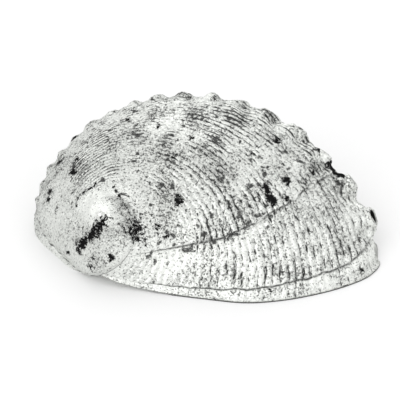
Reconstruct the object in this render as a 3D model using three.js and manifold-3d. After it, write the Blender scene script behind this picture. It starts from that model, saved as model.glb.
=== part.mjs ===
// An abalone shell resting on its rim, grown as one piece: millimetres, +Z up.
import * as THREE from 'three';
import { mergeVertices } from 'three/addons/utils/BufferGeometryUtils.js';
import ManifoldModule from 'manifold-3d';

// Driving dimensions. Lengths are in millimetres and angles in degrees.
// The shell grows by turning about a tilted axis through the spire while it scales up.
const SPIRE_POINT = new THREE.Vector3(-47.5, -9.5, 34.3);
const AXIS_TILT = 41.6;
const AXIS_BEARING = 239.5;
const RADIANS_PER_E_FOLD = 3.17;
// The lip meets the previous whorl this far back along the growth.
const WHORL_LAG = 262;
const GROWTH_SPAN = 385;
// The worn spire is sunk this far at its tip, easing out over this reach.
const SPIRE_SINK = 6;
const SPIRE_SINK_REACH = 15;
// The lip runs from the end of the hole ridge, round the near side, to the previous whorl.
const RIDGE_END = new THREE.Vector3(73, 6.3, 6);
const LIP_OUTLINE = [
  [75.5, -1], [70, -10], [61, -16.5], [48, -22.5], [31, -27.5], [16, -29], [-3, -25.5], [-24, -20], [-39.5, -14.5],
];
// How far the long axis of the outline is turned to lie along X.
const LENGTH_TURN = 7.5;

const RIB_COUNT = 29;
const RIB_HEIGHT = 1.2;
// The ribs run out towards the lip, whose edge is smooth.
const RIB_RUN_OUT = 9;
const ROWS_PER_LAG = 25;
// Two halts in growth leave a ledge along an older lip: its angle, its drop and how far it fades.
const LEDGES = [
  { angle: 3.2, drop: 0.9, fade: 3.2 },
  { angle: 22, drop: 1.0, fade: 9 },
];
const LEDGE_WIDTH = 0.7;

// The far wall falls from the hole ridge to the rim, leaning out most where it is highest.
const WALL_SPREAD = 14;
const WALL_LEAST_SPREAD = 1.6;
const WALL_BULGE = 0.35;
const WALL_STEPS = 4;

const RIM_WIDTH = 3;
const HOLLOW_CROWN = new THREE.Vector3(-8, 41, 42);
const HOLLOW_RINGS = [1, 0.95, 0.87, 0.76, 0.6, 0.36];
const HOLLOW_NEAR_POWER = 1.64;
const HOLLOW_WALL_POWER = 4.2;
// The change of power is eased over this many places along the rim.
const HOLLOW_EASE = 12;

// Raised holes along the ridge. Sizes are those at the lip and shrink with the growth.
const FIRST_TUBERCLE = 5.8;
const TUBERCLE_STEP = 9.6;
const TUBERCLE_COUNT = 17;
const TUBERCLE_RADIUS = 6.4;
const TUBERCLE_CROWN_RADIUS = 3.5;
const TUBERCLE_HEIGHT = 3.6;
const TUBERCLE_DEPTH = 2.4;
const TUBERCLE_SIDES = 8;
// How far the tubercles lean out from upright.
const TUBERCLE_LEAN = 38;
const OPEN_HOLE_COUNT = 4;
const HOLE_RADIUS = 2.1;
const HOLE_REACH = 20;
const HOLE_SIDES = 9;

const SILVER_COLOUR = 0xc6c8c3;

const radians = THREE.MathUtils.degToRad;
const UP = new THREE.Vector3(0, 0, 1);
const growthAxis = new THREE.Vector3(
  Math.sin(radians(AXIS_TILT)) * Math.cos(radians(AXIS_BEARING)),
  Math.sin(radians(AXIS_TILT)) * Math.sin(radians(AXIS_BEARING)),
  Math.cos(radians(AXIS_TILT)),
);

function growthScale(angle) {
  return Math.exp(-radians(angle) / RADIANS_PER_E_FOLD);
}

// Where a point of the lip was when the shell was this many degrees of growth younger.
function grownBack(point, angle) {
  const reach = point.clone().sub(SPIRE_POINT).applyAxisAngle(growthAxis, radians(angle))
    .multiplyScalar(growthScale(angle));
  const sink = SPIRE_SINK * Math.exp(-((reach.length() / SPIRE_SINK_REACH) ** 2));
  return reach.add(SPIRE_POINT).addScaledVector(growthAxis, -sink);
}

const suturePoint = grownBack(RIDGE_END, WHORL_LAG);
const lipCurve = new THREE.CatmullRomCurve3(
  [RIDGE_END, ...LIP_OUTLINE.map(([x, y]) => new THREE.Vector3(x, y, 0)), suturePoint],
  false, 'centripetal');
lipCurve.arcLengthDivisions = 800;

const columnCount = RIB_COUNT * 2;

function smoothSurface(angle, share) {
  return grownBack(lipCurve.getPointAt(THREE.MathUtils.clamp(share, 0, 1)), angle);
}

function surfaceNormal(angle, share) {
  const along = smoothSurface(angle, share + 0.004).sub(smoothSurface(angle, share - 0.004));
  const back = smoothSurface(angle + 0.5, share).sub(smoothSurface(angle - 0.5, share));
  return back.cross(along).normalize();
}

function ledgeDrop(angle) {
  let drop = 0;
  for (const ledge of LEDGES) {
    if (angle < ledge.angle) {
      drop += ledge.drop * Math.max(0, 1 - (ledge.angle - angle) / ledge.fade);
    }
  }
  return drop;
}

// Ribs stand between grooves, and fade out at the hole ridge and at the suture.
function relief(angle, column) {
  if (column === 0 || column === columnCount) {
    return 0;
  }
  const rib = column % 2 === 1 ? 0.5 : -0.5;
  const fade = Math.min(1, column / 3, (columnCount - column) / 5);
  const runOut = Math.min(1, angle / RIB_RUN_OUT);
  return (RIB_HEIGHT * growthScale(angle) ** 0.8 * rib * runOut - ledgeDrop(angle)) * fade;
}

// The angles of the rows within one lag; the rows after it repeat them a lag further back.
function rowAnglesWithinLag() {
  const angles = [];
  for (let row = 0; row < ROWS_PER_LAG; row += 1) {
    angles.push(row * WHORL_LAG / ROWS_PER_LAG);
  }
  for (const ledge of LEDGES) {
    angles.push(ledge.angle, ledge.angle - LEDGE_WIDTH);
  }
  return angles.sort((a, b) => a - b);
}

const lagAngles = rowAnglesWithinLag();
const rowsPerLag = lagAngles.length;

function rowAngle(row) {
  return lagAngles[row % rowsPerLag] + WHORL_LAG * Math.floor(row / rowsPerLag);
}

// A closed surface gathered from shared points.
const points = [];
const triangles = [];

function addPoint(point) {
  points.push(point);
  return points.length - 1;
}

function addTriangle(a, b, c) {
  if (a !== b && b !== c && c !== a) {
    triangles.push(a, b, c);
  }
}

function addQuad(a, b, c, d) {
  addTriangle(a, b, c);
  addTriangle(a, c, d);
}

// Closes a ring of points with a fan to its middle.
function addFan(ring) {
  const centre = ring.reduce((sum, index) => sum.add(points[index]), new THREE.Vector3());
  const hub = addPoint(centre.divideScalar(ring.length));
  ring.forEach((index, place) => addTriangle(index, ring[(place + 1) % ring.length], hub));
}

// The ribbed top: rows are older and older lips, and the suture is shared with the older ridge.
let rowCount = 0;
while (rowAngle(rowCount) <= GROWTH_SPAN) {
  rowCount += 1;
}
const top = [];
for (let row = 0; row < rowCount; row += 1) {
  const angle = rowAngle(row);
  const line = [];
  for (let column = 0; column < columnCount; column += 1) {
    const share = column / columnCount;
    const point = smoothSurface(angle, share);
    if (column > 0) {
      point.addScaledVector(surfaceNormal(angle, share), relief(angle, column));
    }
    if (row === 0 && lipCurve.getPointAt(share).z < 0.05) {
      point.z = 0;
    }
    line.push(addPoint(point));
  }
  top.push(line);
}
for (let row = 0; row < rowCount; row += 1) {
  const sharedRow = row + rowsPerLag;
  const end = sharedRow < rowCount ? top[sharedRow][0] : addPoint(smoothSurface(rowAngle(row), 1));
  top[row].push(end);
}
for (let row = 0; row + 1 < rowCount; row += 1) {
  for (let column = 0; column < columnCount; column += 1) {
    addQuad(top[row][column], top[row + 1][column], top[row + 1][column + 1], top[row][column + 1]);
  }
}
const spireRing = [...top[rowCount - 1]];
for (let row = rowCount - 2; row > rowCount - 1 - rowsPerLag; row -= 1) {
  spireRing.push(top[row][columnCount]);
}
addFan(spireRing.reverse());

// The horizontal direction out of the shell at the hole ridge.
function ridgeOutward(angle) {
  const along = grownBack(RIDGE_END, angle + 0.5).sub(grownBack(RIDGE_END, angle - 0.5)).setZ(0);
  return along.cross(UP).normalize();
}

const ridgeTop = Math.max(...lagAngles.map((angle) => grownBack(RIDGE_END, angle).z));
const wall = [];
const wallHeights = [];
for (let row = 0; row <= rowsPerLag; row += 1) {
  const angle = rowAngle(row);
  const ridge = grownBack(RIDGE_END, angle);
  const spread = WALL_LEAST_SPREAD + (WALL_SPREAD - WALL_LEAST_SPREAD) * (ridge.z / ridgeTop) ** 2;
  const line = [top[row][0]];
  for (let step = 1; step <= WALL_STEPS; step += 1) {
    const share = step / WALL_STEPS;
    const point = ridge.clone().addScaledVector(ridgeOutward(angle), spread * share);
    point.z = ridge.z * (1 - share) * (1 + WALL_BULGE * share);
    line.push(addPoint(point));
  }
  wall.push(line);
  wallHeights.push(ridge.z);
}
for (let row = 0; row < rowsPerLag; row += 1) {
  for (let step = 0; step < WALL_STEPS; step += 1) {
    addQuad(wall[row][step], wall[row][step + 1], wall[row + 1][step + 1], wall[row + 1][step]);
  }
}

// The lip stands clear of the ground at both ends: those two gaps are closed down to the rim.
const grounded = top[0].map((index) => points[index].z === 0);
const firstGrounded = grounded.indexOf(true);
const lastGrounded = grounded.lastIndexOf(true);
addFan([...top[0].slice(0, firstGrounded + 1), ...wall[0].slice(1).reverse()]);
addFan([...top[0].slice(lastGrounded), ...wall[rowsPerLag].slice(1)]);

// The rim on the ground, and the hollow inside it.
const rim = top[0].slice(firstGrounded, lastGrounded + 1);
const hollowPowers = rim.map(() => HOLLOW_NEAR_POWER);
for (let row = rowsPerLag; row >= 0; row -= 1) {
  rim.push(wall[row][WALL_STEPS]);
  hollowPowers.push(HOLLOW_NEAR_POWER + (HOLLOW_WALL_POWER - HOLLOW_NEAR_POWER) * wallHeights[row] / ridgeTop);
}
function easedPower(place) {
  let sum = 0;
  for (let step = -HOLLOW_EASE; step <= HOLLOW_EASE; step += 1) {
    sum += hollowPowers[(place + step + rim.length) % rim.length];
  }
  return sum / (2 * HOLLOW_EASE + 1);
}

const rimInner = rim.map((index, place) => {
  const before = points[rim[(place + rim.length - 2) % rim.length]];
  const after = points[rim[(place + 2) % rim.length]];
  const inward = after.clone().sub(before).setZ(0).cross(UP).normalize();
  return points[index].clone().addScaledVector(inward, RIM_WIDTH);
});
let outerRing = rim;
for (const ring of HOLLOW_RINGS) {
  const innerRing = rimInner.map((point, place) => {
    const lifted = point.clone().sub(HOLLOW_CROWN).multiplyScalar(ring).add(HOLLOW_CROWN);
    lifted.z = ring === 1 ? 0 : HOLLOW_CROWN.z * (1 - ring ** easedPower(place));
    return addPoint(lifted);
  });
  innerRing.forEach((index, place) => {
    const next = (place + 1) % innerRing.length;
    addQuad(outerRing[place], outerRing[next], innerRing[next], index);
  });
  outerRing = innerRing;
}
addFan(outerRing);

const solids = await ManifoldModule();
solids.setup();

function solidFrom(geometry) {
  geometry.deleteAttribute('normal');
  geometry.deleteAttribute('uv');
  const merged = mergeVertices(geometry);
  const vertProperties = new Float32Array(merged.getAttribute('position').array);
  const triVerts = new Uint32Array(merged.index.array);
  return new solids.Manifold(new solids.Mesh({ numProp: 3, vertProperties, triVerts }));
}

// Turns a geometry made along +Y so that it stands at a point along a direction.
function stand(geometry, point, direction) {
  geometry.applyQuaternion(new THREE.Quaternion().setFromUnitVectors(new THREE.Vector3(0, 1, 0), direction));
  geometry.translate(point.x, point.y, point.z);
  return geometry;
}

function tubercleDirection(angle) {
  return UP.clone().multiplyScalar(Math.cos(radians(TUBERCLE_LEAN)))
    .addScaledVector(ridgeOutward(angle), Math.sin(radians(TUBERCLE_LEAN)));
}

function tubercle(angle) {
  const size = growthScale(angle);
  const profile = [
    [0, -TUBERCLE_DEPTH], [TUBERCLE_RADIUS, -TUBERCLE_DEPTH], [TUBERCLE_RADIUS * 0.82, TUBERCLE_HEIGHT * 0.35],
    [TUBERCLE_CROWN_RADIUS, TUBERCLE_HEIGHT], [0, TUBERCLE_HEIGHT * 0.9],
  ].map(([radius, height]) => new THREE.Vector2(radius * size, height * size));
  return stand(new THREE.LatheGeometry(profile, TUBERCLE_SIDES), grownBack(RIDGE_END, angle), tubercleDirection(angle));
}

function hole(angle) {
  const size = growthScale(angle);
  const drill = new THREE.CylinderGeometry(HOLE_RADIUS * size, HOLE_RADIUS * size, HOLE_REACH, HOLE_SIDES);
  // The sides of the hole stay clear of the edges of the tubercle.
  drill.rotateY(radians(10));
  drill.translate(0, TUBERCLE_HEIGHT * size + 2 - HOLE_REACH / 2, 0);
  return stand(drill, grownBack(RIDGE_END, angle), tubercleDirection(angle));
}

const bareGeometry = new THREE.BufferGeometry().setFromPoints(points).setIndex(triangles);
let shellSolid = solidFrom(bareGeometry);
for (let place = 0; place < TUBERCLE_COUNT; place += 1) {
  shellSolid = shellSolid.add(solidFrom(tubercle(FIRST_TUBERCLE + place * TUBERCLE_STEP)));
}
for (let place = 0; place < OPEN_HOLE_COUNT; place += 1) {
  shellSolid = shellSolid.subtract(solidFrom(hole(FIRST_TUBERCLE + place * TUBERCLE_STEP)));
}

const solid = shellSolid.getMesh();
const shellGeometry = new THREE.BufferGeometry();
shellGeometry.setAttribute('position', new THREE.BufferAttribute(new Float32Array(solid.vertProperties), 3));
shellGeometry.setIndex(new THREE.BufferAttribute(new Uint32Array(solid.triVerts), 1));
shellGeometry.rotateZ(radians(LENGTH_TURN));
shellGeometry.computeBoundingBox();
const middle = shellGeometry.boundingBox.getCenter(new THREE.Vector3());
shellGeometry.translate(-middle.x, -middle.y, -shellGeometry.boundingBox.min.z);
shellGeometry.computeVertexNormals();

const silver = new THREE.MeshStandardMaterial({ color: SILVER_COLOUR, metalness: 0.85, roughness: 0.4 });
const shell = new THREE.Mesh(shellGeometry, silver);
shell.name = 'shell';

const part = new THREE.Group();
part.name = 'abalone_shell';
part.add(shell);

export default part;
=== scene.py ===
"""A silver-coated abalone shell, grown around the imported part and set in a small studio."""
import math
from types import SimpleNamespace

import bpy
import numpy as np
from bpy.props import FloatProperty, FloatVectorProperty, IntProperty, PointerProperty
from mathutils import Matrix, Vector, noise


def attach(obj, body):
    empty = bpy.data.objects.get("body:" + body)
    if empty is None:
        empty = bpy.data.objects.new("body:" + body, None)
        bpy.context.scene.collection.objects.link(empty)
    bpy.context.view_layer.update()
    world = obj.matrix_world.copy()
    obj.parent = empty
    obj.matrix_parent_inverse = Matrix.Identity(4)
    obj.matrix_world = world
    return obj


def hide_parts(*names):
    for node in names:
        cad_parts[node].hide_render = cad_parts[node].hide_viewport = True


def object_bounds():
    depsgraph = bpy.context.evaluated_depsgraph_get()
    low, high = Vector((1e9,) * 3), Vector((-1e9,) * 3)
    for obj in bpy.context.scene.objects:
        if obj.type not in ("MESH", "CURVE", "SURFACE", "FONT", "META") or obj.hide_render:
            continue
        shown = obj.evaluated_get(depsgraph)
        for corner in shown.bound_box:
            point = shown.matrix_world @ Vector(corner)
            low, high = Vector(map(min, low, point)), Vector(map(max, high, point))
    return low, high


bl_info = {
    "name": "Silver Abalone Shell",
    "version": (1, 0, 0),
    "blender": (4, 5, 0),
    "location": "View3D > Sidebar > Abalone",
    "description": "Grows an abalone shell with an antiqued silver coat and sets a studio round it",
    "category": "Object",
}

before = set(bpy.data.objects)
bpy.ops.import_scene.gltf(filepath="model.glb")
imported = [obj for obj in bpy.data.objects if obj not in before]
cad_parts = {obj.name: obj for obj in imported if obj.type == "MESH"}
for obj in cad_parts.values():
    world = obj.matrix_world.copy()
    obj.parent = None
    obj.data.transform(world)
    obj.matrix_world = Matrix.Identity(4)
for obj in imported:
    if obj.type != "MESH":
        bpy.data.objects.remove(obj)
CAD_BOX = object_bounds()

MM = 0.001
# Metres and radians too small to matter, the short turn that gives a direction of growth, and the steps
# of a curve from point to point.
MEETING = 1e-6
SAME_HEIGHT = 1e-7
NEVER_ZERO = 1e-12
SHORT_TURN = 0.01
CURVE_STEPS = 160

# The lip in mm, from the hole ridge round the near side to the previous whorl, which it climbs, before
# the shell is turned to lie along X.
LIP_OUTLINE = [
    (75.5, -1.0, 0.0), (70.0, -10.0, 0.0), (61.0, -16.5, 0.0), (48.0, -22.5, 0.0), (31.0, -27.5, 0.0),
    (16.0, -29.0, 0.0), (-3.0, -26.0, 0.2), (-24.0, -21.8, 1.2), (-33.0, -20.4, 2.6), (-39.5, -19.6, 4.2),
]
# Rows of growth, each stretch up to an angle with its step, in degrees: finest at the two ledges.
GROWTH_STEPS = [
    (4.2, 0.6), (7.4, 0.2), (26.4, 0.6), (30.4, 0.2), (46.0, 0.6), (110.0, 1.0), (262.0, 2.4), (1000.0, 9.0),
]
LIP_COLUMNS = 256
WALL_COLUMNS = 18
HOLLOW_RINGS = 15

# Ages of the skin, in degrees of growth back from the lip: where each change begins and where it is full,
# and for some also where it begins to end and has ended.
RELIEF_FROM = (0.0, 2.4)
KNOBS_FROM = (0.0, 1.5)
KNOBS_UNTIL = (120.0, 165.0)
LIP_BAND_UNTIL = (4.8, 6.2)
YOUNG_UNTIL = (18.0, 30.0)
SHADED_AGES = (25.0, 60.0, 140.0, 185.0)
VALLEYS_FROM = (35.0, 60.0)
WORN_FROM = (140.0, 215.0)
GROUND_UNTIL = (150.0, 200.0)
OLD_RIDGE_AGES = (165.0, 195.0, 255.0, 262.0)
FLAT_FROM = (190.0, 300.0)
TUCKED_FROM = 215.0
OLDEST_FROM = (290.0, 350.0)

# Places across the skin, from 0 at the hole ridge to 1 at the suture: where each change begins and is full.
RIDGE_EDGE = (0.0, 0.05)
SUTURE_EDGE = (0.0, 0.06)
OLD_TOP = (0.35, 0.55)
LEFT_LIP = (0.5, 0.65)
FAINT_RIBS = (0.55, 0.7)
FAINT_GROOVES = (0.58, 0.72)
CALM_SUTURE = (0.74, 0.88)
BRIGHT_SUTURE = (0.78, 0.92)

# Noise in the skin, coarse, middle and fine: lumps of these sizes in mm, with their seeds.
SKIN_NOISE = ((22.0, 1), (7.0, 2), (2.6, 3))
WALL_NOISE = ((18.0, 1), (6.0, 2), (2.6, 3))
TUBE_NOISE = (4.0, 5)
LINE_SEED = 4
NOISE_STEP = (7.31, 3.17, 5.73)
# Shares of the coarse, middle and fine noise in what is uneven: ribs, ledges in degrees, cracks, the old
# seam, folds in radians, pits and lumps.
RIB_WOBBLE = (0.0, 0.3, 0.2)
RIB_PATCHES = (0.7, 0.7, 0.0)
LEDGE_WANDER = (0.0, 1.0, 0.6)
CRACK_PATCHES = (0.6, 1.0, 0.0)
SEAM_WANDER = (0.0, 0.01, 0.0)
FOLD_WANDER = (0.0, 0.8, 0.0)
PIT_MIX = (0.0, 0.35, 1.0)
LUMP_MIX = (1.0, 0.35, 0.0)

# The section of a rib: the power that broadens its crest, its mean level and the power of its size.
RIB_CREST_POWER = 0.7
RIB_LEVEL = 0.7
RIB_SIZE_POWER = 0.8
# Strength of the ribs: its mean and bounds, the least of young ribs, and what is lost in places.
PATCHY_MEAN = 0.78
PATCHY_BOUNDS = (0.35, 1.25)
YOUNG_LEAST = 0.75
FAINT_LOSS = 0.15
OLD_LOSS = 0.15
WORN_LOSS = 0.65
LIP_BAND_LOSS = 0.45
SUTURE_LOSS = 0.65
YOUNG_STEADINESS = 0.5
OLDEST_UNWORN = 0.6
# Blackness of the grooves, and what young and faint ones lose.
GROOVE_BLACK = 1.05
YOUNG_GROOVE_LOSS = 0.25
FAINT_GROOVE_LOSS = 0.35
# Pits: the noise where they begin and are full, the power of their size, and what is lost in places.
PIT_EDGE = (0.28, 0.55)
PIT_SIZE_POWER = 0.5
YOUNG_PIT_LOSS = 0.8
WORN_PIT_BLACK_LOSS = 0.7
YOUNG_PIT_BLACK_LOSS = 0.4
# Painted shade, as dullness of the skin: by the ridge, what it gains on the old top, which faces up and away
# from the light, and in the valleys between the folds.
RIDGE_SHADE = 0.35
OLD_TOP_SHADE = 1.35
VALLEY_SHADE = 1.7
# Polish of the lip band and of the left part of the young skin.
LIP_BAND_POLISH = 0.35
LEFT_LIP_POLISH = 0.3

# Two halts in growth left a ledge along an older lip. Each has its degrees back, the degrees it gains
# at the ridge and at the suture, its drop in mm and the degrees over which the drop fades.
LEDGES = [(5.2, 2.0, 0.0, 1.1, 6.0), (28.5, -2.0, 9.0, 0.9, 14.0)]
# The parts of the lip where a ledge gains its degrees, and the part where its crack gapes.
LEDGE_RIDGE_PART = (0.05, 0.28)
LEDGE_SUTURE_PART = (0.64, 1.0)
GAPING_PART = (0.56, 0.66, 0.88, 0.96)
# The drop of a ledge, its crack's place and width and what gaping adds, all in degrees of growth, and the
# age from which a ledge wanders in full.
LEDGE_DROP = (-0.1, 0.35)
CRACK_PLACE = 0.18
CRACK_WIDTH = 0.34
CRACK_GAPE = 0.3
FULL_WANDER = 10.0
# Noise levels where a crack begins and is unbroken, and what the lip band and gaping add to its noise.
CRACK_EDGE = (-0.5, 0.1)
LIP_BAND_CRACK = 0.5
GAPING_CRACK = 0.8
# The seam along the worn old ridge, as shares across the skin.
SEAM_PLACE = 0.06
SEAM_WIDTH = 0.018
# The folds that run in from the raised holes: their middle and width across the skin, height in mm, its
# least share and what it gains with the coarse noise above a level, and the wave where a valley is.
FOLD_PLACE = 0.04
FOLD_WIDTH = 0.16
FOLD_HEIGHT = 1.5
FOLD_LEAST = 0.6
FOLD_GAIN = 0.8
FOLD_GAIN_LEVEL = -0.3
VALLEY_WAVE = (-0.1, 1.0)
# Height of the growth lines in mm, and their noise per degree and over the whole lip.
LINE_HEIGHT = 0.12
LINE_RATE = 0.9
LINE_WAVES = 2.5
# How far the suture lies in, in mm, and how wide the ridge sinks across the skin and the wall.
SUTURE_TUCK = 0.12
RIDGE_SINK_TOP = 0.07
RIDGE_SINK_WALL = 0.35

# The larger black stains, each by its place and radius in mm before the shell is turned, and its blackness.
STAINS = [
    (-30, -12, 26, 4.4, 0.88), (-27, -12, 22, 4.5, 0.50), (-30, -4, 31, 4.5, 0.45), (-20, -8, 23, 5.0, 0.50),
    (-23, -4, 28, 5.0, 0.46), (-12, 2, 31, 2.2, 0.95), (-15, 0, 28, 1.6, 0.75), (-17, -9, 21, 1.2, 1.00),
    (-48, 11, 33, 1.3, 1.00), (-58, 22, 32, 2.2, 1.00), (-57, 29, 34, 1.6, 0.95), (-65, 37, 28, 1.9, 1.00),
    (-68, 22, 22, 1.9, 1.00), (-69, 19, 20, 1.7, 1.00), (-65, 11, 20, 1.5, 0.95), (-49, -15, 9, 2.0, 1.00),
    (-48, -14, 12, 1.7, 0.95), (-41, -17, 15, 1.8, 0.95), (-60, -2, 7, 1.7, 0.90), (-59, 52, 30, 1.5, 1.00),
    (22, 6, 32, 3.0, 0.42), (32, 22, 36, 1.4, 0.95), (34, 15, 33, 2.3, 1.00), (34, 7, 29, 1.7, 0.90),
    (46, 22, 32, 1.9, 0.95), (47, 28, 33, 1.5, 0.85), (19, 24, 41, 1.1, 0.80), (22, 28, 42, 1.0, 0.80),
    (48, 7, 24, 1.1, 0.80), (19, 1, 29, 1.6, 0.60), (8, 6, 34, 1.4, 0.60), (30, 34, 41, 2.1, 0.90),
    (14, 42, 46, 1.2, 0.75), (-7, 29, 46, 1.3, 0.80), (-14, 20, 42, 1.2, 0.80), (-21, 37, 46, 1.4, 0.80),
    (-35, 46, 44, 1.4, 0.80), (-39, 31, 42, 1.1, 0.75), (66, -9, 3, 1.3, 0.80), (27, -25, 4, 1.2, 0.80),
]
# Black that lies in a line: the slot beside the spire, the seams round it, the crevices by the newest holes
# and a long stain. Each has its two ends and radius in mm and its blackness.
STREAKS = [
    ((-44, -8, 27), (-55, -7, 13), 2.3, 1.00),
    ((-48, 11, 33), (-55, 9, 28), 0.8, 0.85), ((-55, 9, 28), (-56, 5, 26), 0.7, 0.80),
    ((-40, 8, 34), (-36, -1, 33), 0.6, 0.85), ((-36, -1, 33), (-32, -7, 30), 0.6, 0.75),
    ((53, 33, 31), (57, 26, 27), 2.6, 1.00), ((47, 36, 36), (53, 33, 31), 1.6, 0.95),
    ((25, 10, 33), (28, 4, 29), 2.0, 1.00),
]
# Blackness of the specks in the valleys between the folds.
VALLEY_BLACK = 0.42

# Outline of the tube round an open hole: radius and height as shares of the tube's own, from the foot
# outside over the rim and down to the floor of the hole. From this ring on the inside is painted black, as
# painted shade.
TUBE_OUTLINE = [
    (1.5, -1.0), (1.22, -0.4), (1.05, 0.1), (0.98, 0.5), (0.96, 0.78), (0.90, 0.92), (0.80, 1.0),
    (0.70, 0.98), (0.62, 0.88), (0.58, 0.6), (0.55, -0.2), (0.0, -0.3),
]
HOLE_SHADE_RING = 8
TUBE_SIDES = 32
# Width and height of a tube as shares of its raised hole's, each with what the newest one gains, how deep
# it is set as a share of the ridge's drop, and its unevenness in mm.
TUBE_WIDTH = (0.74, -0.14)
TUBE_HEIGHT = (0.72, 0.48)
TUBE_SET = 0.6
TUBE_UNEVEN = 0.5
# How far the raised holes lean outward from upright, how much more the newest does, and how far that one
# leans toward the lip.
OUTWARD_LEAN = math.radians(40)
NEWEST_LEAN = math.radians(16)
FORWARD_LEAN = 0.65
# No two raised holes are alike: how much their height and radius swing, and how fast along the row, and
# how much wider the newest is.
HEIGHT_SWING = (0.14, 2.4)
RADIUS_SWING = (0.1, 1.7)
NEWEST_WIDER = 0.25
# A raised hole moves only what is within this many of its radii.
KNOB_REACH = 2

# The rounded spire: the ends of its crest, its reach and its height, in mm, and the fall of its sides.
SPIRE_CREST = ((-51.0, 5.0, 28.0), (-45.0, -5.0, 28.0))
SPIRE_CREST_REACH = 7.5
SPIRE_CREST_HEIGHT = 1.2
SPIRE_CREST_FALL = 1.5
# Flatness of the worn tip, and its sides and rings.
TIP_FLATNESS = 0.25
TIP_SIDES = 24
TIP_RINGS = 12
# The near left margin is drawn in under the spire: its middle, how far and which way, and the reach, in mm.
MARGIN_PLACE = (-67.0, -2.0, 0.0)
MARGIN_SHIFT = (4.8, 5.2, 0.0)
MARGIN_REACH = 21.0

# The far wall: its cords, how far noise moves them, in cords, and the growth folds, in radians, the height
# of both and its lumps, in mm, and the height in mm below which all this fades.
WALL_CORDS = 7
WALL_CORD_WOBBLE = (0.0, 0.2, 0.0)
WALL_FOLD_WOBBLE = (0.0, 1.5, 0.0)
WALL_WAVE_HEIGHT = 0.6
WALL_LUMPS = (0.6, 0.3, 0.0)
WALL_LOW = 10.0
WALL_FADE_POWER = 0.5
# The part of the wall, from its ridge down, where the swelling of the raised holes ends, the wave where a
# groove is, and the blackness of that and the painted shade that dulls the whole wall under the ridge.
WALL_HOLD = (0.6, 0.95)
WALL_GROOVE_WAVE = (0.2, 1.0)
WALL_GROOVE_BLACK = 0.5
WALL_SHADE = 0.2
# The hollow rises gently behind the lip and steeply behind the far wall: the power of its curve, what it
# gains there, and the rim points over which one turns into the other.
GENTLE_POWER = 1.62
STEEP_GAIN = 2.5
STEEP_BLEND = 60
# The bare edge of the lip, with a painted shadow where it meets the ground: how high on it the black begins,
# how black it is, and the height at which there is none, in lip thicknesses.
BARE_EDGE_TOP = 0.85
EDGE_SHADOW_BLACK = 0.85
EDGE_SHADOW_END = 3
# Length in metres of rib that grew in one radian, at the lip, and of the wall from ridge to foot.
RIB_RUN = 0.1
WALL_RUN = 0.05

# What the skin's points carry for its material.
SKIN_MARKS = ("groove", "pit", "crack", "hole_shade", "stain", "painted_shade", "worn", "polish")
# Noise in the silver, with its size in mm, detail and roughness.
SILVER_NOISE = [
    ("grain", 0.8, 2.0, 0.5), ("dot", 0.85, 1.0, 0.5), ("speck", 1.4, 4.0, 0.75), ("ragged", 3.0, 5.0, 0.75),
    ("patch", 12.0, 3.0, 0.5),
]
# Noise drawn out along the ribs or the lip, with its size in mm along the lip and along the ribs.
GROWTH_NOISE = [("dash", 1.0, 4.2, 3.0, 0.65), ("line", 7.0, 0.9, 2.0, 0.5)]
# How far specks crowd together: what the patch noise gives, and what marks add.
CROWDED_PATCHES = {"From_Min": 0.36, "From_Max": 0.64, "To_Min": -0.055, "To_Max": 0.035}
CROWDING = {"painted_shade": 0.005, "worn": -0.034, "polish": -0.045, "stain": 0.07}
# Black in layers. Each adds up values by their shares, begins at one sum, is full at the next, and is so
# black: specks, dots, dashes in the grooves, pits and stains.
BLACK_LAYERS = [
    ({"speck": 1.0, "crowd": 1.0}, 0.575, 0.64, 0.92),
    ({"dot": 1.0, "crowd": 0.9}, 0.58, 0.66, 0.7),
    ({"dash": 1.0, "groove": 0.27, "crowd": 0.8}, 0.63, 0.72, 0.95),
    ({"speck": 1.0, "pit": 0.3}, 0.66, 0.77, 0.9),
    ({"stain": 1.0, "ragged": 1.7, "speck": 2.2}, 2.45, 2.55, 1.0),
]
# The speck noise breaks up the cracks: the blackness that it leaves.
BROKEN_CRACKS = {"From_Min": 0.36, "From_Max": 0.52, "To_Min": 0.1, "To_Max": 1.0}
# Dullness in layers of noise, from start to full, and what marks add to it, painted shade among them.
DULL_LAYERS = [("grain", 0.35, 0.68, 0.5), ("line", 0.5, 0.72, 0.4), ("patch", 0.42, 0.62, 0.18)]
DULLING = {"painted_shade": 0.18, "worn": 0.16, "polish": -0.5}
# Inputs of the coat's shader: the darkness at which each is as in black, and its values bare and black.
COAT_RANGES = (("Metallic", 0.8, 0.75, 0.0), ("Specular IOR Level", 1.0, 0.5, 0.1))
PATINA_ROUGHNESS = 0.8
# The crust: how deep black lies in it, as a share of its grain, its strength and its depth in mm.
BLACK_DEPTH = 0.6
CRUST_STRENGTH = 0.8
CRUST_DEPTH = 0.4
# The lining: its clouds' size in mm and detail, its shine, and the strength and depth in mm of its ripple.
CLOUD_SIZE = 20.0
CLOUD_DETAIL = 4.0
LINING_METALLIC = 0.8
LINING_ROUGHNESS = 0.3
RIPPLE_STRENGTH = 0.2
RIPPLE_DEPTH = 0.6
# A sum with a value times a share, and a mix of two colours, which come in at 6 and 7 and go out at 2.
WEIGHED_SUM = {"operation": "MULTIPLY_ADD"}
COLOUR_MIX = {"data_type": "RGBA"}
COLOUR_RESULT = 2

# The studio: a sheet of paper, even light from all round, and soft panels by place, size and power, all
# aimed at one place, in metres and watts.
FLOOR_SIZE = 6
PAPER_ROUGHNESS = 0.9
WORLD_STRENGTH = 0.91
LIGHT_AIM = (0, 0, 0.02)
LIGHTS = [
    ("key", (-0.5, -0.85, 0.95), 1.2, 5.6), ("fill", (0.8, -0.6, 0.6), 1.0, 1.6),
    ("back", (-0.1, 1.0, 1.0), 1.2, 4.0),
]
# What the camera is aimed at, how far that is moved right and up in its frame, and its sensor in mm.
CAMERA_AIM = (0.0026, -0.0247, 0.020)
FRAME_RIGHT = -0.0030
FRAME_UP = 0.0107
SENSOR_WIDTH = 36.0


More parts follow.
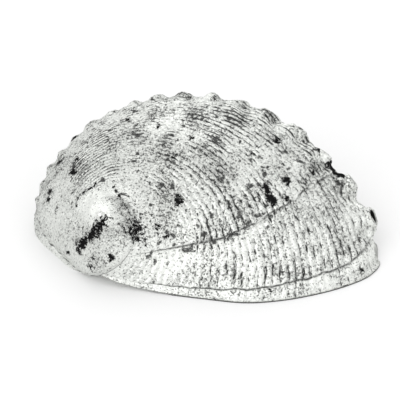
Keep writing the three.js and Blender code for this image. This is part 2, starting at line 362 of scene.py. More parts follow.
def linear_colour(hex_code):
    """The linear RGB of an sRGB hex colour."""
    channels = [int(hex_code[place:place + 2], 16) / 255 for place in (1, 3, 5)]
    return [c / 12.92 if c <= 0.04045 else ((c + 0.055) / 1.055) ** 2.4 for c in channels]


# The kinds of setting in the groups below.
def length_setting(name, description, metres):
    return FloatProperty(name=name, description=description, default=metres, unit="LENGTH")


def place_setting(name, description, metres):
    return FloatVectorProperty(name=name, description=description, default=metres, unit="LENGTH")


def angle_setting(name, description, degrees):
    return FloatProperty(name=name, description=description, default=math.radians(degrees), subtype="ANGLE")


def share_setting(name, description, share):
    return FloatProperty(name=name, description=description, default=share, subtype="FACTOR")


def colour_setting(name, description, hex_code):
    return FloatVectorProperty(
        name=name, description=description, default=linear_colour(hex_code), subtype="COLOR")


class ShellShape(bpy.types.PropertyGroup):
    """How the shell grew and how large it is."""

    spire_point: place_setting(
        "Spire", "The point that the whole shell grew out of", (-0.0475, -0.0095, 0.0343))
    axis_tilt: angle_setting("Axis tilt", "Tilt of the growth axis from upright", 41.6)
    axis_bearing: angle_setting("Axis bearing", "Direction that the growth axis tilts to", 239.5)
    radians_per_e_fold: FloatProperty(
        name="Radians per e-fold", description="Turn in which the shell grows e times larger", default=3.17)
    whorl_lag: angle_setting("Whorl lag", "How far back the lip meets the previous whorl", 262.0)
    ridge_end: place_setting("Ridge end", "Where the hole ridge meets the lip", (0.073, 0.0063, 0.006))
    length_turn: angle_setting("Length turn", "Turn that lays the length along X", 7.5)
    spire_sink: length_setting("Spire sink", "How far the worn spire is sunk", 0.006)
    spire_wear: share_setting("Spire wear", "How flat the older whorls are worn", 0.7)
    spire_reach: length_setting("Spire reach", "Reach of the worn spire", 0.015)
    wall_spread: length_setting("Wall spread", "How far the far wall leans out where it is highest", 0.014)
    wall_least_spread: length_setting(
        "Least wall spread", "How far the far wall leans out where it is low", 0.0016)
    wall_tuck: length_setting(
        "Wall tuck", "How far the wall turns in under the ridge at the insertion", 0.0090)
    wall_bulge: FloatProperty(
        name="Wall bulge", description="How much the far wall bellies out", default=0.35)
    rim_width: length_setting("Rim width", "Width of the edge that the shell rests on", 0.0026)
    lip_thickness: length_setting("Lip thickness", "Height of the bare edge of the lip", 0.0006)
    spire_cap: length_setting("Spire cap", "Radius of the worn tip of the spire", 0.0012)
    hollow_crown: place_setting("Hollow crown", "Highest point of the hollow", (-0.008, 0.041, 0.042))


class ShellRelief(bpy.types.PropertyGroup):
    """The ribs, knobs and wear on the shell's surface."""

    rib_count: IntProperty(name="Ribs", description="Ribs across the lip", default=40)
    rib_height: length_setting("Rib height", "Height of a rib at the lip", 0.0008)
    lump_height: length_setting("Lumps", "Height of the broad unevenness", 0.0007)
    pit_depth: length_setting("Pit depth", "Depth of the worn pits", 0.0004)
    tubercle_radius: length_setting("Tubercle radius", "Radius of a raised hole at the lip", 0.0064)
    tubercle_height: length_setting("Tubercle height", "Height of a raised hole at the lip", 0.0047)
    ridge_drop: length_setting("Ridge drop", "How far the ridge sinks between the raised holes", 0.0024)
    first_tubercle: angle_setting("First tubercle", "Growth angle of the newest raised hole", 5.8)
    tubercle_step: angle_setting("Tubercle step", "Growth angle between raised holes", 9.6)
    tubercle_count: IntProperty(name="Tubercles", description="Raised holes in the row", default=17)
    open_holes: IntProperty(name="Open holes", description="Newest holes, still open", default=4)


class SilverFinish(bpy.types.PropertyGroup):
    """The antiqued silver coat."""

    silver: colour_setting("Silver", "Colour of the bare silver coat", "#EFF1ED")
    # The dull silver is also the colour of the painted shade.
    shade: colour_setting("Dull silver", "Colour of the silver where it is dulled", "#B8BAB6")
    patina: colour_setting("Patina", "Colour of the black left in the recesses", "#0C0C0C")
    roughness: share_setting("Roughness", "Roughness of the bare silver", 0.36)


class StudioSettings(bpy.types.PropertyGroup):
    """Camera, light and floor."""

    azimuth: angle_setting("Azimuth", "Direction of the camera round the shell", 7.5)
    elevation: angle_setting("Elevation", "Height of the camera above the horizon", 35.0)
    distance: length_setting("Distance", "Distance of the camera", 0.9)
    lens: FloatProperty(name="Lens", description="Focal length in millimetres", default=189.0)
    floor: colour_setting("Floor", "Colour of the floor", "#EDEDED")


def growth_axis(shape):
    """The direction that the shell coils round."""
    return np.array([
        math.sin(shape.axis_tilt) * math.cos(shape.axis_bearing),
        math.sin(shape.axis_tilt) * math.sin(shape.axis_bearing),
        math.cos(shape.axis_tilt),
    ])


def grown_back(shape, points, angles):
    """Where points of the lip were when the shell was these angles of growth younger."""
    spire = np.array(shape.spire_point)
    axis = growth_axis(shape)
    reach = points - spire
    along = (reach @ axis)[..., None] * axis
    across = reach - along
    turned = np.cross(axis, reach)
    angles = np.asarray(angles)[..., None]
    scale = np.exp(-angles / shape.radians_per_e_fold)
    reach = scale * (along + np.cos(angles) * across + np.sin(angles) * turned)
    far = np.linalg.norm(reach, axis=-1, keepdims=True)
    sink = shape.spire_sink * np.exp(-(far / shape.spire_reach) ** 2)
    return spire + reach - sink * axis


def smooth_curve(points, samples):
    """A centripetal curve through points, sampled evenly along its length."""
    points = np.asarray(points)
    ends = np.vstack([2 * points[0] - points[1], points, 2 * points[-1] - points[-2]])
    line = []
    for place in range(len(points) - 1):
        p0, p1, p2, p3 = ends[place:place + 4]
        d0, d1, d2 = (np.linalg.norm(b - a) ** 0.5 for a, b in ((p0, p1), (p1, p2), (p2, p3)))
        start = ((p1 - p0) / d0 - (p2 - p0) / (d0 + d1) + (p2 - p1) / d1) * d1
        stop = ((p2 - p1) / d1 - (p3 - p1) / (d1 + d2) + (p3 - p2) / d2) * d1
        t = np.linspace(0, 1, CURVE_STEPS, endpoint=place == len(points) - 2)[:, None]
        line.append((2 * t**3 - 3 * t**2 + 1) * p1 + (t**3 - 2 * t**2 + t) * start
                    + (3 * t**2 - 2 * t**3) * p2 + (t**3 - t**2) * stop)
    line = np.vstack(line)
    run = np.concatenate([[0], np.cumsum(np.linalg.norm(np.diff(line, axis=0), axis=1))])
    even = np.linspace(0, run[-1], samples)
    return np.stack([np.interp(even, run, line[:, k]) for k in range(3)], axis=1)


def drawn_in(points):
    """Moves points near the left margin in under the spire."""
    away = np.linalg.norm(points - np.array(MARGIN_PLACE) * MM, axis=-1, keepdims=True)
    return points + np.exp(-(away / (MARGIN_REACH * MM)) ** 2) * np.array(MARGIN_SHIFT) * MM


def away_from_line(points, first, last):
    """How far points are from the straight line between two places in mm."""
    first = np.array(first) * MM
    line = np.array(last) * MM - first
    along = np.clip((points - first) @ line / max(line @ line, NEVER_ZERO), 0, 1)
    return np.linalg.norm(points - first - along[..., None] * line, axis=-1)


def soft_noise(places, seed):
    """Perlin noise from -1 to 1 over places counted in its lumps."""
    shift = Vector(NOISE_STEP) * seed
    values = [noise.noise(Vector(place) + shift) for place in places.reshape(-1, 3).tolist()]
    return np.array(values).reshape(places.shape[:-1])


def ease(low, high, values):
    """A smooth step, 0 up to the low value and 1 from the high one on."""
    t = np.clip((values - low) / (high - low), 0, 1)
    return t * t * (3 - 2 * t)


def within(stretch, values):
    """A smooth step up and down again, over the four ends of a stretch."""
    return ease(*stretch[:2], values) * (1 - ease(*stretch[2:], values))


def less(share, where):
    """What is left where a share is lost."""
    return 1 - share * where


def mixed(shares, noises):
    """The sum of the coarse, middle and fine noise, each by its share."""
    return sum(share * values for share, values in zip(shares, noises))


def grid_normals(points):
    """The direction square to the skin at each point of a net."""
    across = np.gradient(points, axis=1)
    along = np.gradient(points, axis=0)
    normals = np.cross(along, across)
    return normals / np.maximum(np.linalg.norm(normals, axis=2, keepdims=True), NEVER_ZERO)


def deselect_all():
    if bpy.context.mode != "OBJECT":
        bpy.ops.object.mode_set(mode="OBJECT")
    bpy.ops.object.select_all(action="DESELECT")


def laid_grid(name, points, marks):
    """A grid primitive laid over a net of points, with its marks as attributes."""
    rows, columns = points.shape[:2]
    deselect_all()
    bpy.ops.mesh.primitive_grid_add(x_subdivisions=columns - 1, y_subdivisions=rows - 1, size=1)
    piece = bpy.context.object
    piece.name = name
    piece.data.vertices.foreach_set("co", points.reshape(-1).astype(np.float32))
    for mark, values in marks.items():
        kind, field = ("FLOAT", "value") if values.ndim == 2 else ("FLOAT_VECTOR", "vector")
        layer = piece.data.attributes.new(mark, kind, "POINT")
        layer.data.foreach_set(field, values.reshape(-1).astype(np.float32))
    piece.data.update()
    return piece


class GrowShell(bpy.types.Operator):
    """Grow the ribbed shell from its lip and give it its wall, rim and hollow"""

    bl_idname = "object.grow_abalone_shell"
    bl_label = "Grow abalone shell"
    bl_options = {"REGISTER", "UNDO"}

    def execute(self, context):
        shape = context.scene.shell_shape
        relief = context.scene.shell_relief
        angles = self.growth_angles()
        lip = self.lip_line(shape)
        top, top_marks = self.ribbed_top(shape, relief, lip, angles)
        wall, wall_marks = self.far_wall(shape, relief, top, angles)
        hollow, hollow_marks = self.rim_and_hollow(shape, top, wall)
        place = self.placing(shape, lip)
        pieces = [
            laid_grid("shell_top", place(top), top_marks),
            laid_grid("shell_wall", place(wall), wall_marks),
            laid_grid("shell_hollow", place(hollow), hollow_marks),
            self.spire_cap(shape, place(top[-1, 0])),
        ]
        for tubercle in self.tubercles(shape, relief)[:relief.open_holes]:
            rings, marks = self.tube(relief, *tubercle)
            pieces.append(laid_grid("shell_tube", place(rings), marks))
        coat = antiqued_silver(context.scene.silver_finish)
        lining = satin_lining(context.scene.silver_finish)
        for piece in pieces:
            piece.data.materials.append(lining if piece.name == "shell_hollow" else coat)
        shell = self.joined(pieces)
        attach(shell, "root")
        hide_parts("shell")
        return {"FINISHED"}

    def growth_angles(self):
        """The angles of growth at which there is a row of points, from the lip back to the spire."""
        angles = []
        start = 0.0
        for stop, step in GROWTH_STEPS:
            angles.extend(np.arange(start, stop - step / 2, step))
            start = stop
        angles.append(start)
        return np.radians(angles)

    def lip_line(self, shape):
        """Even points along the lip, from the hole ridge to where it meets the previous whorl."""
        ridge_end = np.array(shape.ridge_end)
        suture = grown_back(shape, ridge_end, shape.whorl_lag)
        outline = [np.array(point) * MM for point in LIP_OUTLINE]
        return smooth_curve([ridge_end, *outline, suture], LIP_COLUMNS + 1)

    def placing(self, shape, lip):
        """Turns the length along X and brings the lip to the sides of the part's box."""
        turn = shape.length_turn
        spin = np.array([
            [math.cos(turn), -math.sin(turn), 0],
            [math.sin(turn), math.cos(turn), 0],
            [0, 0, 1],
        ])
        turned = lip @ spin.T
        shift = np.array([
            CAD_BOX[1][0] - turned[:, 0].max(), CAD_BOX[0][1] - turned[:, 1].min(), 0,
        ])
        return lambda points: points @ spin.T + shift

    def tubercles(self, shape, relief):
        """Place, direction, radius, height and newness of each raised hole."""
        upright = np.array([0.0, 0.0, 1.0])
        found = []
        for number in range(relief.tubercle_count):
            angle = relief.first_tubercle + number * relief.tubercle_step
            size = math.exp(-angle / shape.radians_per_e_fold)
            newest = max(0.0, 1 - number / relief.open_holes)
            centre = grown_back(shape, np.array(shape.ridge_end), angle)
            newer = grown_back(shape, np.array(shape.ridge_end), angle - SHORT_TURN)
            outward = self.ridge_outward(shape, angle)
            forward = np.cross(upright, outward)
            forward *= np.sign(forward @ (newer - centre))
            lean = OUTWARD_LEAN + NEWEST_LEAN * newest
            direction = outward * math.sin(lean) + upright * math.cos(lean)
            direction += FORWARD_LEAN * newest ** 2 * forward
            direction /= np.linalg.norm(direction)
            taller = 1 + HEIGHT_SWING[0] * math.sin(HEIGHT_SWING[1] * number)
            wider = 1 + RADIUS_SWING[0] * math.cos(RADIUS_SWING[1] * number) + NEWEST_WIDER * newest
            radius = relief.tubercle_radius * size * wider
            height = relief.tubercle_height * size * taller
            found.append((centre, direction, radius, height, newest))
        return found

    def tube(self, relief, centre, direction, radius, height, newest):
        """An open raised hole: a short tapered tube that stands out of the ridge, closed by a floor, its
        inside painted black as painted shade.
        """
        turn = np.linspace(0, 2 * np.pi, TUBE_SIDES + 1)[:, None]
        side = np.cross(direction, [0, 0, 1])
        side /= np.linalg.norm(side)
        upper = np.cross(side, direction)
        ring = np.cos(turn) * side + np.sin(turn) * upper
        wide = radius * (TUBE_WIDTH[0] + TUBE_WIDTH[1] * newest)
        tall = height * (TUBE_HEIGHT[0] + TUBE_HEIGHT[1] * newest)
        foot = centre - TUBE_SET * relief.ridge_drop * direction
        rings = [foot + share * wide * ring + level * tall * direction for share, level in TUBE_OUTLINE]
        rings = np.array(rings)
        lump, seed = TUBE_NOISE
        uneven = soft_noise(rings / (lump * MM), seed)
        rings += TUBE_UNEVEN * MM * uneven[..., None] * direction
        # Painted shade: the inside and floor of the hole are painted black.
        hole_shade = np.zeros(rings.shape[:2])
        hole_shade[HOLE_SHADE_RING:] = 1.0
        return rings, {"hole_shade": hole_shade}

    def ridge_drop(self, shape, relief, angles, weights):
        """How far the ridge lies in and down between its raised holes; weights fade it across the rows."""
        outward = np.array([self.ridge_outward(shape, angle) for angle in angles])
        lean = outward * math.sin(OUTWARD_LEAN) + np.array([0, 0, math.cos(OUTWARD_LEAN)])
        size = np.exp(-angles / shape.radians_per_e_fold) * (1 - ease(*KNOBS_UNTIL, np.degrees(angles)))
        return relief.ridge_drop * (size[:, None] * weights)[..., None] * lean[:, None, :]

    def ridge_outward(self, shape, angle):
        """The level direction away from the shell, square to the hole ridge."""
        ridge_end = np.array(shape.ridge_end)
        newer = grown_back(shape, ridge_end, angle - SHORT_TURN)
        older = grown_back(shape, ridge_end, angle + SHORT_TURN)
        outward = np.cross(older - newer, [0, 0, 1])
        outward[2] = 0
        return outward / np.linalg.norm(outward)

    def raised(self, shape, relief, points):
        """How the raised holes push the skin out: a rounded swelling at each."""
        push = np.zeros_like(points)
        for centre, direction, radius, height, _ in self.tubercles(shape, relief):
            away = points - centre
            level = away - (away @ direction)[..., None] * direction
            reach = np.linalg.norm(level, axis=-1) / radius
            near = np.linalg.norm(away, axis=-1) < KNOB_REACH * radius
            knob = np.clip(1 - reach ** 2, 0, 1) * near
            push += (knob * height)[..., None] * direction
        return push

    def bare_skin(self, shape, lip, angles):
        """The skin before its relief: its places, their ages and the noise that the relief is made of."""
        skin = SimpleNamespace()
        net = np.broadcast_to(lip, (len(angles), LIP_COLUMNS + 1, 3))
        skin.turn = np.broadcast_to(angles[:, None], net.shape[:2])
        skin.degrees = np.degrees(skin.turn)
        skin.size = np.exp(-skin.turn / shape.radians_per_e_fold)
        skin.across = np.broadcast_to(np.linspace(0, 1, LIP_COLUMNS + 1), net.shape[:2])
        skin.points = drawn_in(self.flattened_spire(shape, grown_back(shape, net, skin.turn), skin.turn))
        skin.noise = [soft_noise(skin.points / (size * MM), seed) for size, seed in SKIN_NOISE]
        skin.edge = np.minimum(ease(*RIDGE_EDGE, skin.across), ease(*SUTURE_EDGE, 1 - skin.across))
        skin.fade = skin.edge * ease(*RELIEF_FROM, skin.degrees)
        skin.lip_band = 1 - ease(*LIP_BAND_UNTIL, skin.degrees)
        skin.young = 1 - ease(*YOUNG_UNTIL, skin.degrees)
        skin.worn = ease(*WORN_FROM, skin.degrees)
        skin.worn = skin.worn * less(OLDEST_UNWORN, ease(*OLDEST_FROM, skin.degrees))
        return skin

    def ribs(self, relief, skin):
        """Height of the ribs, and the grooves between them: strong by the lip, patchy farther back."""
        wobble = mixed(RIB_WOBBLE, skin.noise) * less(YOUNG_STEADINESS, skin.young)
        wave = 0.5 - 0.5 * np.cos(2 * np.pi * (skin.across * relief.rib_count + wobble))
        strength = np.clip(PATCHY_MEAN + mixed(RIB_PATCHES, skin.noise), *PATCHY_BOUNDS)
        least = YOUNG_LEAST - FAINT_LOSS * ease(*FAINT_RIBS, skin.across)
        strength = np.maximum(strength, skin.young * least)
        strength *= less(OLD_LOSS, 1 - skin.young) * less(WORN_LOSS, skin.worn)
        strength *= less(LIP_BAND_LOSS, skin.lip_band)
        strength *= less(SUTURE_LOSS, ease(*CALM_SUTURE, skin.across) * (1 - skin.young))
        crest = wave ** RIB_CREST_POWER - RIB_LEVEL
        height = relief.rib_height * skin.size ** RIB_SIZE_POWER * crest * strength
        groove = (1 - wave) ** 2 * strength * skin.edge
        groove *= GROOVE_BLACK - YOUNG_GROOVE_LOSS * skin.young
        groove *= less(FAINT_GROOVE_LOSS, ease(*FAINT_GROOVES, skin.across) * skin.young)
        return height, groove

    def ledges(self, skin):
        """How far the skin drops at each ledge, and the crack along it and along the worn old ridge."""
        drop = np.zeros_like(skin.degrees)
        crack = np.zeros_like(skin.degrees)
        gaping = within(GAPING_PART, skin.across) * (1 - skin.lip_band)
        for angle, at_ridge, at_suture, fall, reach in LEDGES:
            place = angle + at_ridge * (1 - ease(*LEDGE_RIDGE_PART, skin.across))
            place = place + at_suture * ease(*LEDGE_SUTURE_PART, skin.across)
            wander = min(1.0, angle / FULL_WANDER) * mixed(LEDGE_WANDER, skin.noise)
            newer = place + wander - skin.degrees
            drop += fall * MM * ease(*LEDGE_DROP, newer) * np.clip(1 - newer / reach, 0, 1)
            width = CRACK_WIDTH + CRACK_GAPE * gaping
            crack = np.maximum(crack, np.exp(-((newer - CRACK_PLACE) / width) ** 2))
        unbroken = mixed(CRACK_PATCHES, skin.noise) + LIP_BAND_CRACK * skin.lip_band + GAPING_CRACK * gaping
        crack *= ease(*CRACK_EDGE, unbroken)
        old_ridge = within(OLD_RIDGE_AGES, skin.degrees)
        away = skin.across - SEAM_PLACE - mixed(SEAM_WANDER, skin.noise)
        crack = np.maximum(crack, old_ridge * np.exp(-(away / SEAM_WIDTH) ** 2))
        return drop, crack * np.maximum(skin.edge, old_ridge)

    def folds(self, relief, skin):
        """Height of the folds that run in from the raised holes, and the valleys between them."""
        step = (skin.turn - relief.first_tubercle) / relief.tubercle_step
        wave = np.cos(2 * np.pi * step + mixed(FOLD_WANDER, skin.noise))
        reach = np.exp(-((skin.across - FOLD_PLACE) / FOLD_WIDTH) ** 2)
        valleys = reach * ease(*VALLEY_WAVE, -wave)
        uneven = FOLD_LEAST + FOLD_GAIN * np.clip(skin.noise[0] - FOLD_GAIN_LEVEL, 0, 1)
        return FOLD_HEIGHT * MM * skin.size * wave * reach * uneven, valleys

    def ribbed_top(self, shape, relief, lip, angles):
        """The skin with all its relief, and the marks that its material is painted by."""
        skin = self.bare_skin(shape, lip, angles)
        ribs, groove = self.ribs(relief, skin)
        drop, crack = self.ledges(skin)
        folds, valleys = self.folds(relief, skin)
        pits = ease(*PIT_EDGE, mixed(PIT_MIX, skin.noise))
        pit_depth = relief.pit_depth * skin.size ** PIT_SIZE_POWER * pits * less(YOUNG_PIT_LOSS, skin.young)
        lumps = relief.lump_height * mixed(LUMP_MIX, skin.noise)
        line_place = np.stack([skin.degrees * LINE_RATE, skin.across * LINE_WAVES, 0 * skin.degrees], axis=-1)
        lines = LINE_HEIGHT * MM * skin.size * soft_noise(line_place, LINE_SEED)
        height = (ribs + folds + lumps - pit_depth - drop) * skin.fade + lines * skin.edge

        axis = growth_axis(shape)
        points = skin.points + height[..., None] * grid_normals(skin.points)
        points += self.raised(shape, relief, skin.points) * ease(*KNOBS_FROM, skin.degrees)[..., None]
        points -= self.ridge_drop(shape, relief, angles, np.exp(-(skin.across[0] / RIDGE_SINK_TOP) ** 2))
        crest_reach = away_from_line(skin.points, *SPIRE_CREST) / (SPIRE_CREST_REACH * MM)
        crest = np.clip(1 - crest_reach ** 2, 0, 1)
        points += (SPIRE_CREST_HEIGHT * MM * crest ** SPIRE_CREST_FALL)[..., None] * axis
        points[:, -1] -= SUTURE_TUCK * MM * skin.size[:, -1:] * axis
        points[-1] = points[-1].mean(axis=0)
        least_height = shape.lip_thickness * (1 - ease(*GROUND_UNTIL, skin.degrees))
        points[..., 2] = np.maximum(points[..., 2], least_height)

        unworn = 1 - skin.worn
        valley_specks = VALLEY_BLACK * valleys * unworn * ease(*VALLEYS_FROM, skin.degrees)
        # Painted shade: the upper part, which faces up and away from the light, and the valleys between the
        # folds are painted duller.
        painted_shade = within(SHADED_AGES, skin.degrees) * (1 - ease(*BRIGHT_SUTURE, skin.across))
        painted_shade *= RIDGE_SHADE + OLD_TOP_SHADE * ease(*OLD_TOP, skin.across)
        left_lip = skin.young * ease(*LEFT_LIP, skin.across)
        rubbed_lip = np.maximum(LIP_BAND_POLISH * skin.lip_band, LEFT_LIP_POLISH * left_lip)
        pit_black = less(WORN_PIT_BLACK_LOSS, skin.worn) * less(YOUNG_PIT_BLACK_LOSS, skin.young)
        marks = {
            "groove": groove,
            "pit": pits * skin.fade * pit_black,
            "crack": crack,
            "stain": np.maximum(self.stained(skin.points), valley_specks),
            "painted_shade": painted_shade + VALLEY_SHADE * valleys * unworn,
            "worn": skin.worn,
            "polish": np.maximum(crest, rubbed_lip),
            "growth_place": self.growth_places(lip, skin),
        }
        return points, marks

    def flattened_spire(self, shape, points, turn):
        """Wears the older whorls down toward the straight line from their ridge to their suture."""
        axis = growth_axis(shape)
        height = points @ axis
        share = np.linspace(0, 1, points.shape[1])
        straight = height[:, :1] * (1 - share) + height[:, -1:] * share
        wear = shape.spire_wear * ease(*FLAT_FROM, np.degrees(turn))
        return points - (wear * (height - straight))[..., None] * axis

    def stained(self, points):
        """How near each point is to a stain: its blackness in the middle, half of that at its radius."""
        spots = [(place, place, radius, black) for *place, radius, black in STAINS]
        stain = np.zeros(points.shape[:-1])
        for first, last, radius, black in spots + STREAKS:
            reach = away_from_line(points, first, last) / (radius * MM)
            stain = np.maximum(stain, black * (1 - reach / 2))
        return stain

    def growth_places(self, lip, skin):
        """Lengths along the lip and along the ribs, both as they would be at the lip."""
        lip_length = np.linalg.norm(np.diff(lip, axis=0), axis=1).sum()
        return np.stack([skin.across * lip_length, skin.turn * RIB_RUN, 0 * skin.turn], axis=-1)

    def far_wall(self, shape, relief, top, angles):
        """The wall from the hole ridge down to the ground on the far side, corded along its length."""
        rows = int(np.searchsorted(angles, shape.whorl_lag - MEETING)) + 1
        turn = angles[:rows]
        share = np.linspace(0, 1, WALL_COLUMNS + 1)
        ridge = grown_back(shape, np.broadcast_to(np.array(shape.ridge_end), (rows, 3)), turn)
        outward = np.array([self.ridge_outward(shape, angle) for angle in turn])
        lean_out = (shape.wall_spread - shape.wall_least_spread) * (ridge[:, 2] / ridge[:, 2].max()) ** 2
        tuck = shape.wall_tuck * ease(math.radians(TUCKED_FROM), shape.whorl_lag, turn)
        spread = shape.wall_least_spread + lean_out - tuck
        points = ridge[:, None, :] + outward[:, None, :] * (spread[:, None] * share)[..., None]
        points[..., 2] = ridge[:, None, 2] * (1 - share) * (1 + shape.wall_bulge * share)
        points = drawn_in(points)

        size = np.exp(-turn / shape.radians_per_e_fold)[:, None]
        noises = [soft_noise(points / (lump * MM), seed) for lump, seed in WALL_NOISE]
        fade = np.sin(np.pi * share) ** WALL_FADE_POWER * np.minimum(1, points[:, :1, 2] / (WALL_LOW * MM))
        cord = share * WALL_CORDS + mixed(WALL_CORD_WOBBLE, noises)
        fold = 2 * np.pi * turn[:, None] / relief.tubercle_step + mixed(WALL_FOLD_WOBBLE, noises)
        waves = WALL_WAVE_HEIGHT * (np.cos(2 * np.pi * cord) + np.cos(fold))
        height = MM * (size * waves + mixed(WALL_LUMPS, noises)) * fade
        points = points + height[..., None] * outward[:, None, :]
        push = self.raised(shape, relief, points)
        push -= self.ridge_drop(shape, relief, turn, np.exp(-(share / RIDGE_SINK_WALL) ** 2))
        hold = (1 - ease(*WALL_HOLD, share)) * ease(*KNOBS_FROM, np.degrees(turn))[:, None]
        points = points + push * hold[..., None]
        points[:, 0] = top[:rows, 0]
        points[:, -1, 2] = 0.0
        points[..., 2] = np.maximum(points[..., 2], 0.0)

        down = np.broadcast_to(-share * WALL_RUN, fade.shape)
        along = np.broadcast_to(turn[:, None] * RIB_RUN, fade.shape)
        groove = WALL_GROOVE_BLACK * ease(*WALL_GROOVE_WAVE, -np.cos(2 * np.pi * share * WALL_CORDS))
        marks = {
            "groove": groove * fade,
            "pit": ease(*PIT_EDGE, noises[-1]) * fade,
            # Painted shade: the far wall under the ridge is painted duller all over.
            "painted_shade": np.full_like(fade, WALL_SHADE),
            "growth_place": np.stack([down, along, 0 * down], axis=-1),
        }
        return points[:, ::-1], {name: values[:, ::-1] for name, values in marks.items()}

    def rim_and_hollow(self, shape, top, wall):
        """The edge on the ground, and the smooth hollow above it, as rings round the shell."""
        wall = wall[:, ::-1]
        edge = np.concatenate([
            top[0], wall[-1, 1:], wall[-2::-1, -1], wall[0, -2:0:-1], top[0, :1],
        ])
        crown = np.array(shape.hollow_crown)
        ground = edge * [1, 1, 0]
        grounded = np.flatnonzero(edge[:LIP_COLUMNS + 1, 2] <= shape.lip_thickness + SAME_HEIGHT)
        oldest_foot = LIP_COLUMNS + WALL_COLUMNS
        newest_foot = oldest_foot + len(wall) - 1
        self.straighten(ground, np.arange(grounded[-1], oldest_foot + 1))
        self.straighten(ground, np.r_[newest_foot:len(ground) - 1, 0:grounded[0] + 1])
        ground[-1] = ground[0]
        inward = crown * [1, 1, 0] - ground
        inward /= np.linalg.norm(inward, axis=1, keepdims=True)
        inner = ground + shape.rim_width * inward

        steep = np.zeros(len(edge))
        wall_part = oldest_foot + 1
        steep[wall_part:wall_part + len(wall)] = wall[::-1, 0, 2][:len(steep) - wall_part]
        window = np.hanning(2 * STEEP_BLEND + 1)
        padded = np.concatenate([steep[-STEEP_BLEND - 1:-1], steep, steep[1:STEEP_BLEND + 1]])
        eased = np.convolve(padded, window / window.sum(), mode="valid")
        power = GENTLE_POWER + STEEP_GAIN * eased / wall[:, 0, 2].max()

        bare = edge * [1, 1, BARE_EDGE_TOP] + ground * [0, 0, 1 - BARE_EDGE_TOP]
        rings = [edge, bare, ground, inner]
        for lift in np.linspace(1, 0, HOLLOW_RINGS)[1:]:
            ring = crown + (inner - crown) * lift
            ring[:, 2] = crown[2] * (1 - lift ** power)
            rings.append(ring)
        rings = np.array(rings)
        # Painted shadow: the bare edge of the lip is painted black where it is low, along its contact with
        # the ground.
        low = 1 - ease(shape.lip_thickness, EDGE_SHADOW_END * shape.lip_thickness, edge[:, 2])
        edge_shadow = np.zeros(rings.shape[:2])
        edge_shadow[1:3] = EDGE_SHADOW_BLACK * low
        return rings, {"edge": edge_shadow}

    def straighten(self, ground, places):
        """Lays the foot of these places on the straight line between the first and the last."""
        share = np.linspace(0, 1, len(places))[:, None]
        ground[places] = ground[places[0]] * (1 - share) + ground[places[-1]] * share

    def spire_cap(self, shape, tip):
        """The worn tip, a low dome over the last turns of the spire."""
        deselect_all()
        bpy.ops.mesh.primitive_uv_sphere_add(segments=TIP_SIDES, ring_count=TIP_RINGS, radius=shape.spire_cap)
        cap = bpy.context.object
        cap.name = "shell_tip"
        axis = Vector(growth_axis(shape))
        axis.rotate(Matrix.Rotation(shape.length_turn, 3, "Z"))
        cap.scale = (1, 1, TIP_FLATNESS)
        cap.rotation_euler = axis.to_track_quat("Z", "Y").to_euler()
        cap.location = tip
        bpy.ops.object.transform_apply(location=True, rotation=True, scale=True)
        return cap

    def joined(self, pieces):
        """All the pieces as one object, with the points that meet made one."""
        deselect_all()
        for piece in pieces:
            piece.select_set(True)
        bpy.context.view_layer.objects.active = pieces[0]
        bpy.ops.object.join()
        shell = bpy.context.object
        shell.name = "abalone_shell"
        shell.data.name = "abalone_shell"
        bpy.ops.object.mode_set(mode="EDIT")
        bpy.ops.mesh.select_all(action="SELECT")
        bpy.ops.mesh.remove_doubles(threshold=MEETING)
        bpy.ops.object.mode_set(mode="OBJECT")
        bpy.ops.object.shade_smooth()
        if not shell.data.polygons:
            raise RuntimeError("the shell came out with no faces")
        return shell


def add_node(tree, kind, settings=None, result=0, **inputs):
    """Adds a node, sets or links its inputs and gives its result; i0, i1 name an input by its number."""
    node = tree.nodes.new("ShaderNode" + kind)
    for name, value in (settings or {}).items():
        setattr(node, name, value)
    for name, value in inputs.items():
        key = int(name[1:]) if name[1:].isdigit() else name.replace("_", " ")
        if isinstance(value, bpy.types.NodeSocket):
            tree.links.new(value, node.inputs[key])
        else:
            node.inputs[key].default_value = value
    return node.outputs[result]


def new_material(name):
    """A material with nodes, its node tree and its shader."""
    material = bpy.data.materials.new(name)
    material.use_nodes = True
    return material, material.node_tree, material.node_tree.nodes["Principled BSDF"]


def paint_silver(tree, finish, dullness_and_shade, dark, shader):
    """Colours a shader as silver, dull by the first value and black by the second; both can carry painted
    shade.
    """
    silver = add_node(tree, "Mix", COLOUR_MIX, COLOUR_RESULT,
                      Factor=dullness_and_shade, i6=(*finish.silver, 1), i7=(*finish.shade, 1))
    coat = add_node(tree, "Mix", COLOUR_MIX, COLOUR_RESULT,
                    Factor=dark, i6=silver, i7=(*finish.patina, 1))
    tree.links.new(coat, shader.inputs["Base Color"])


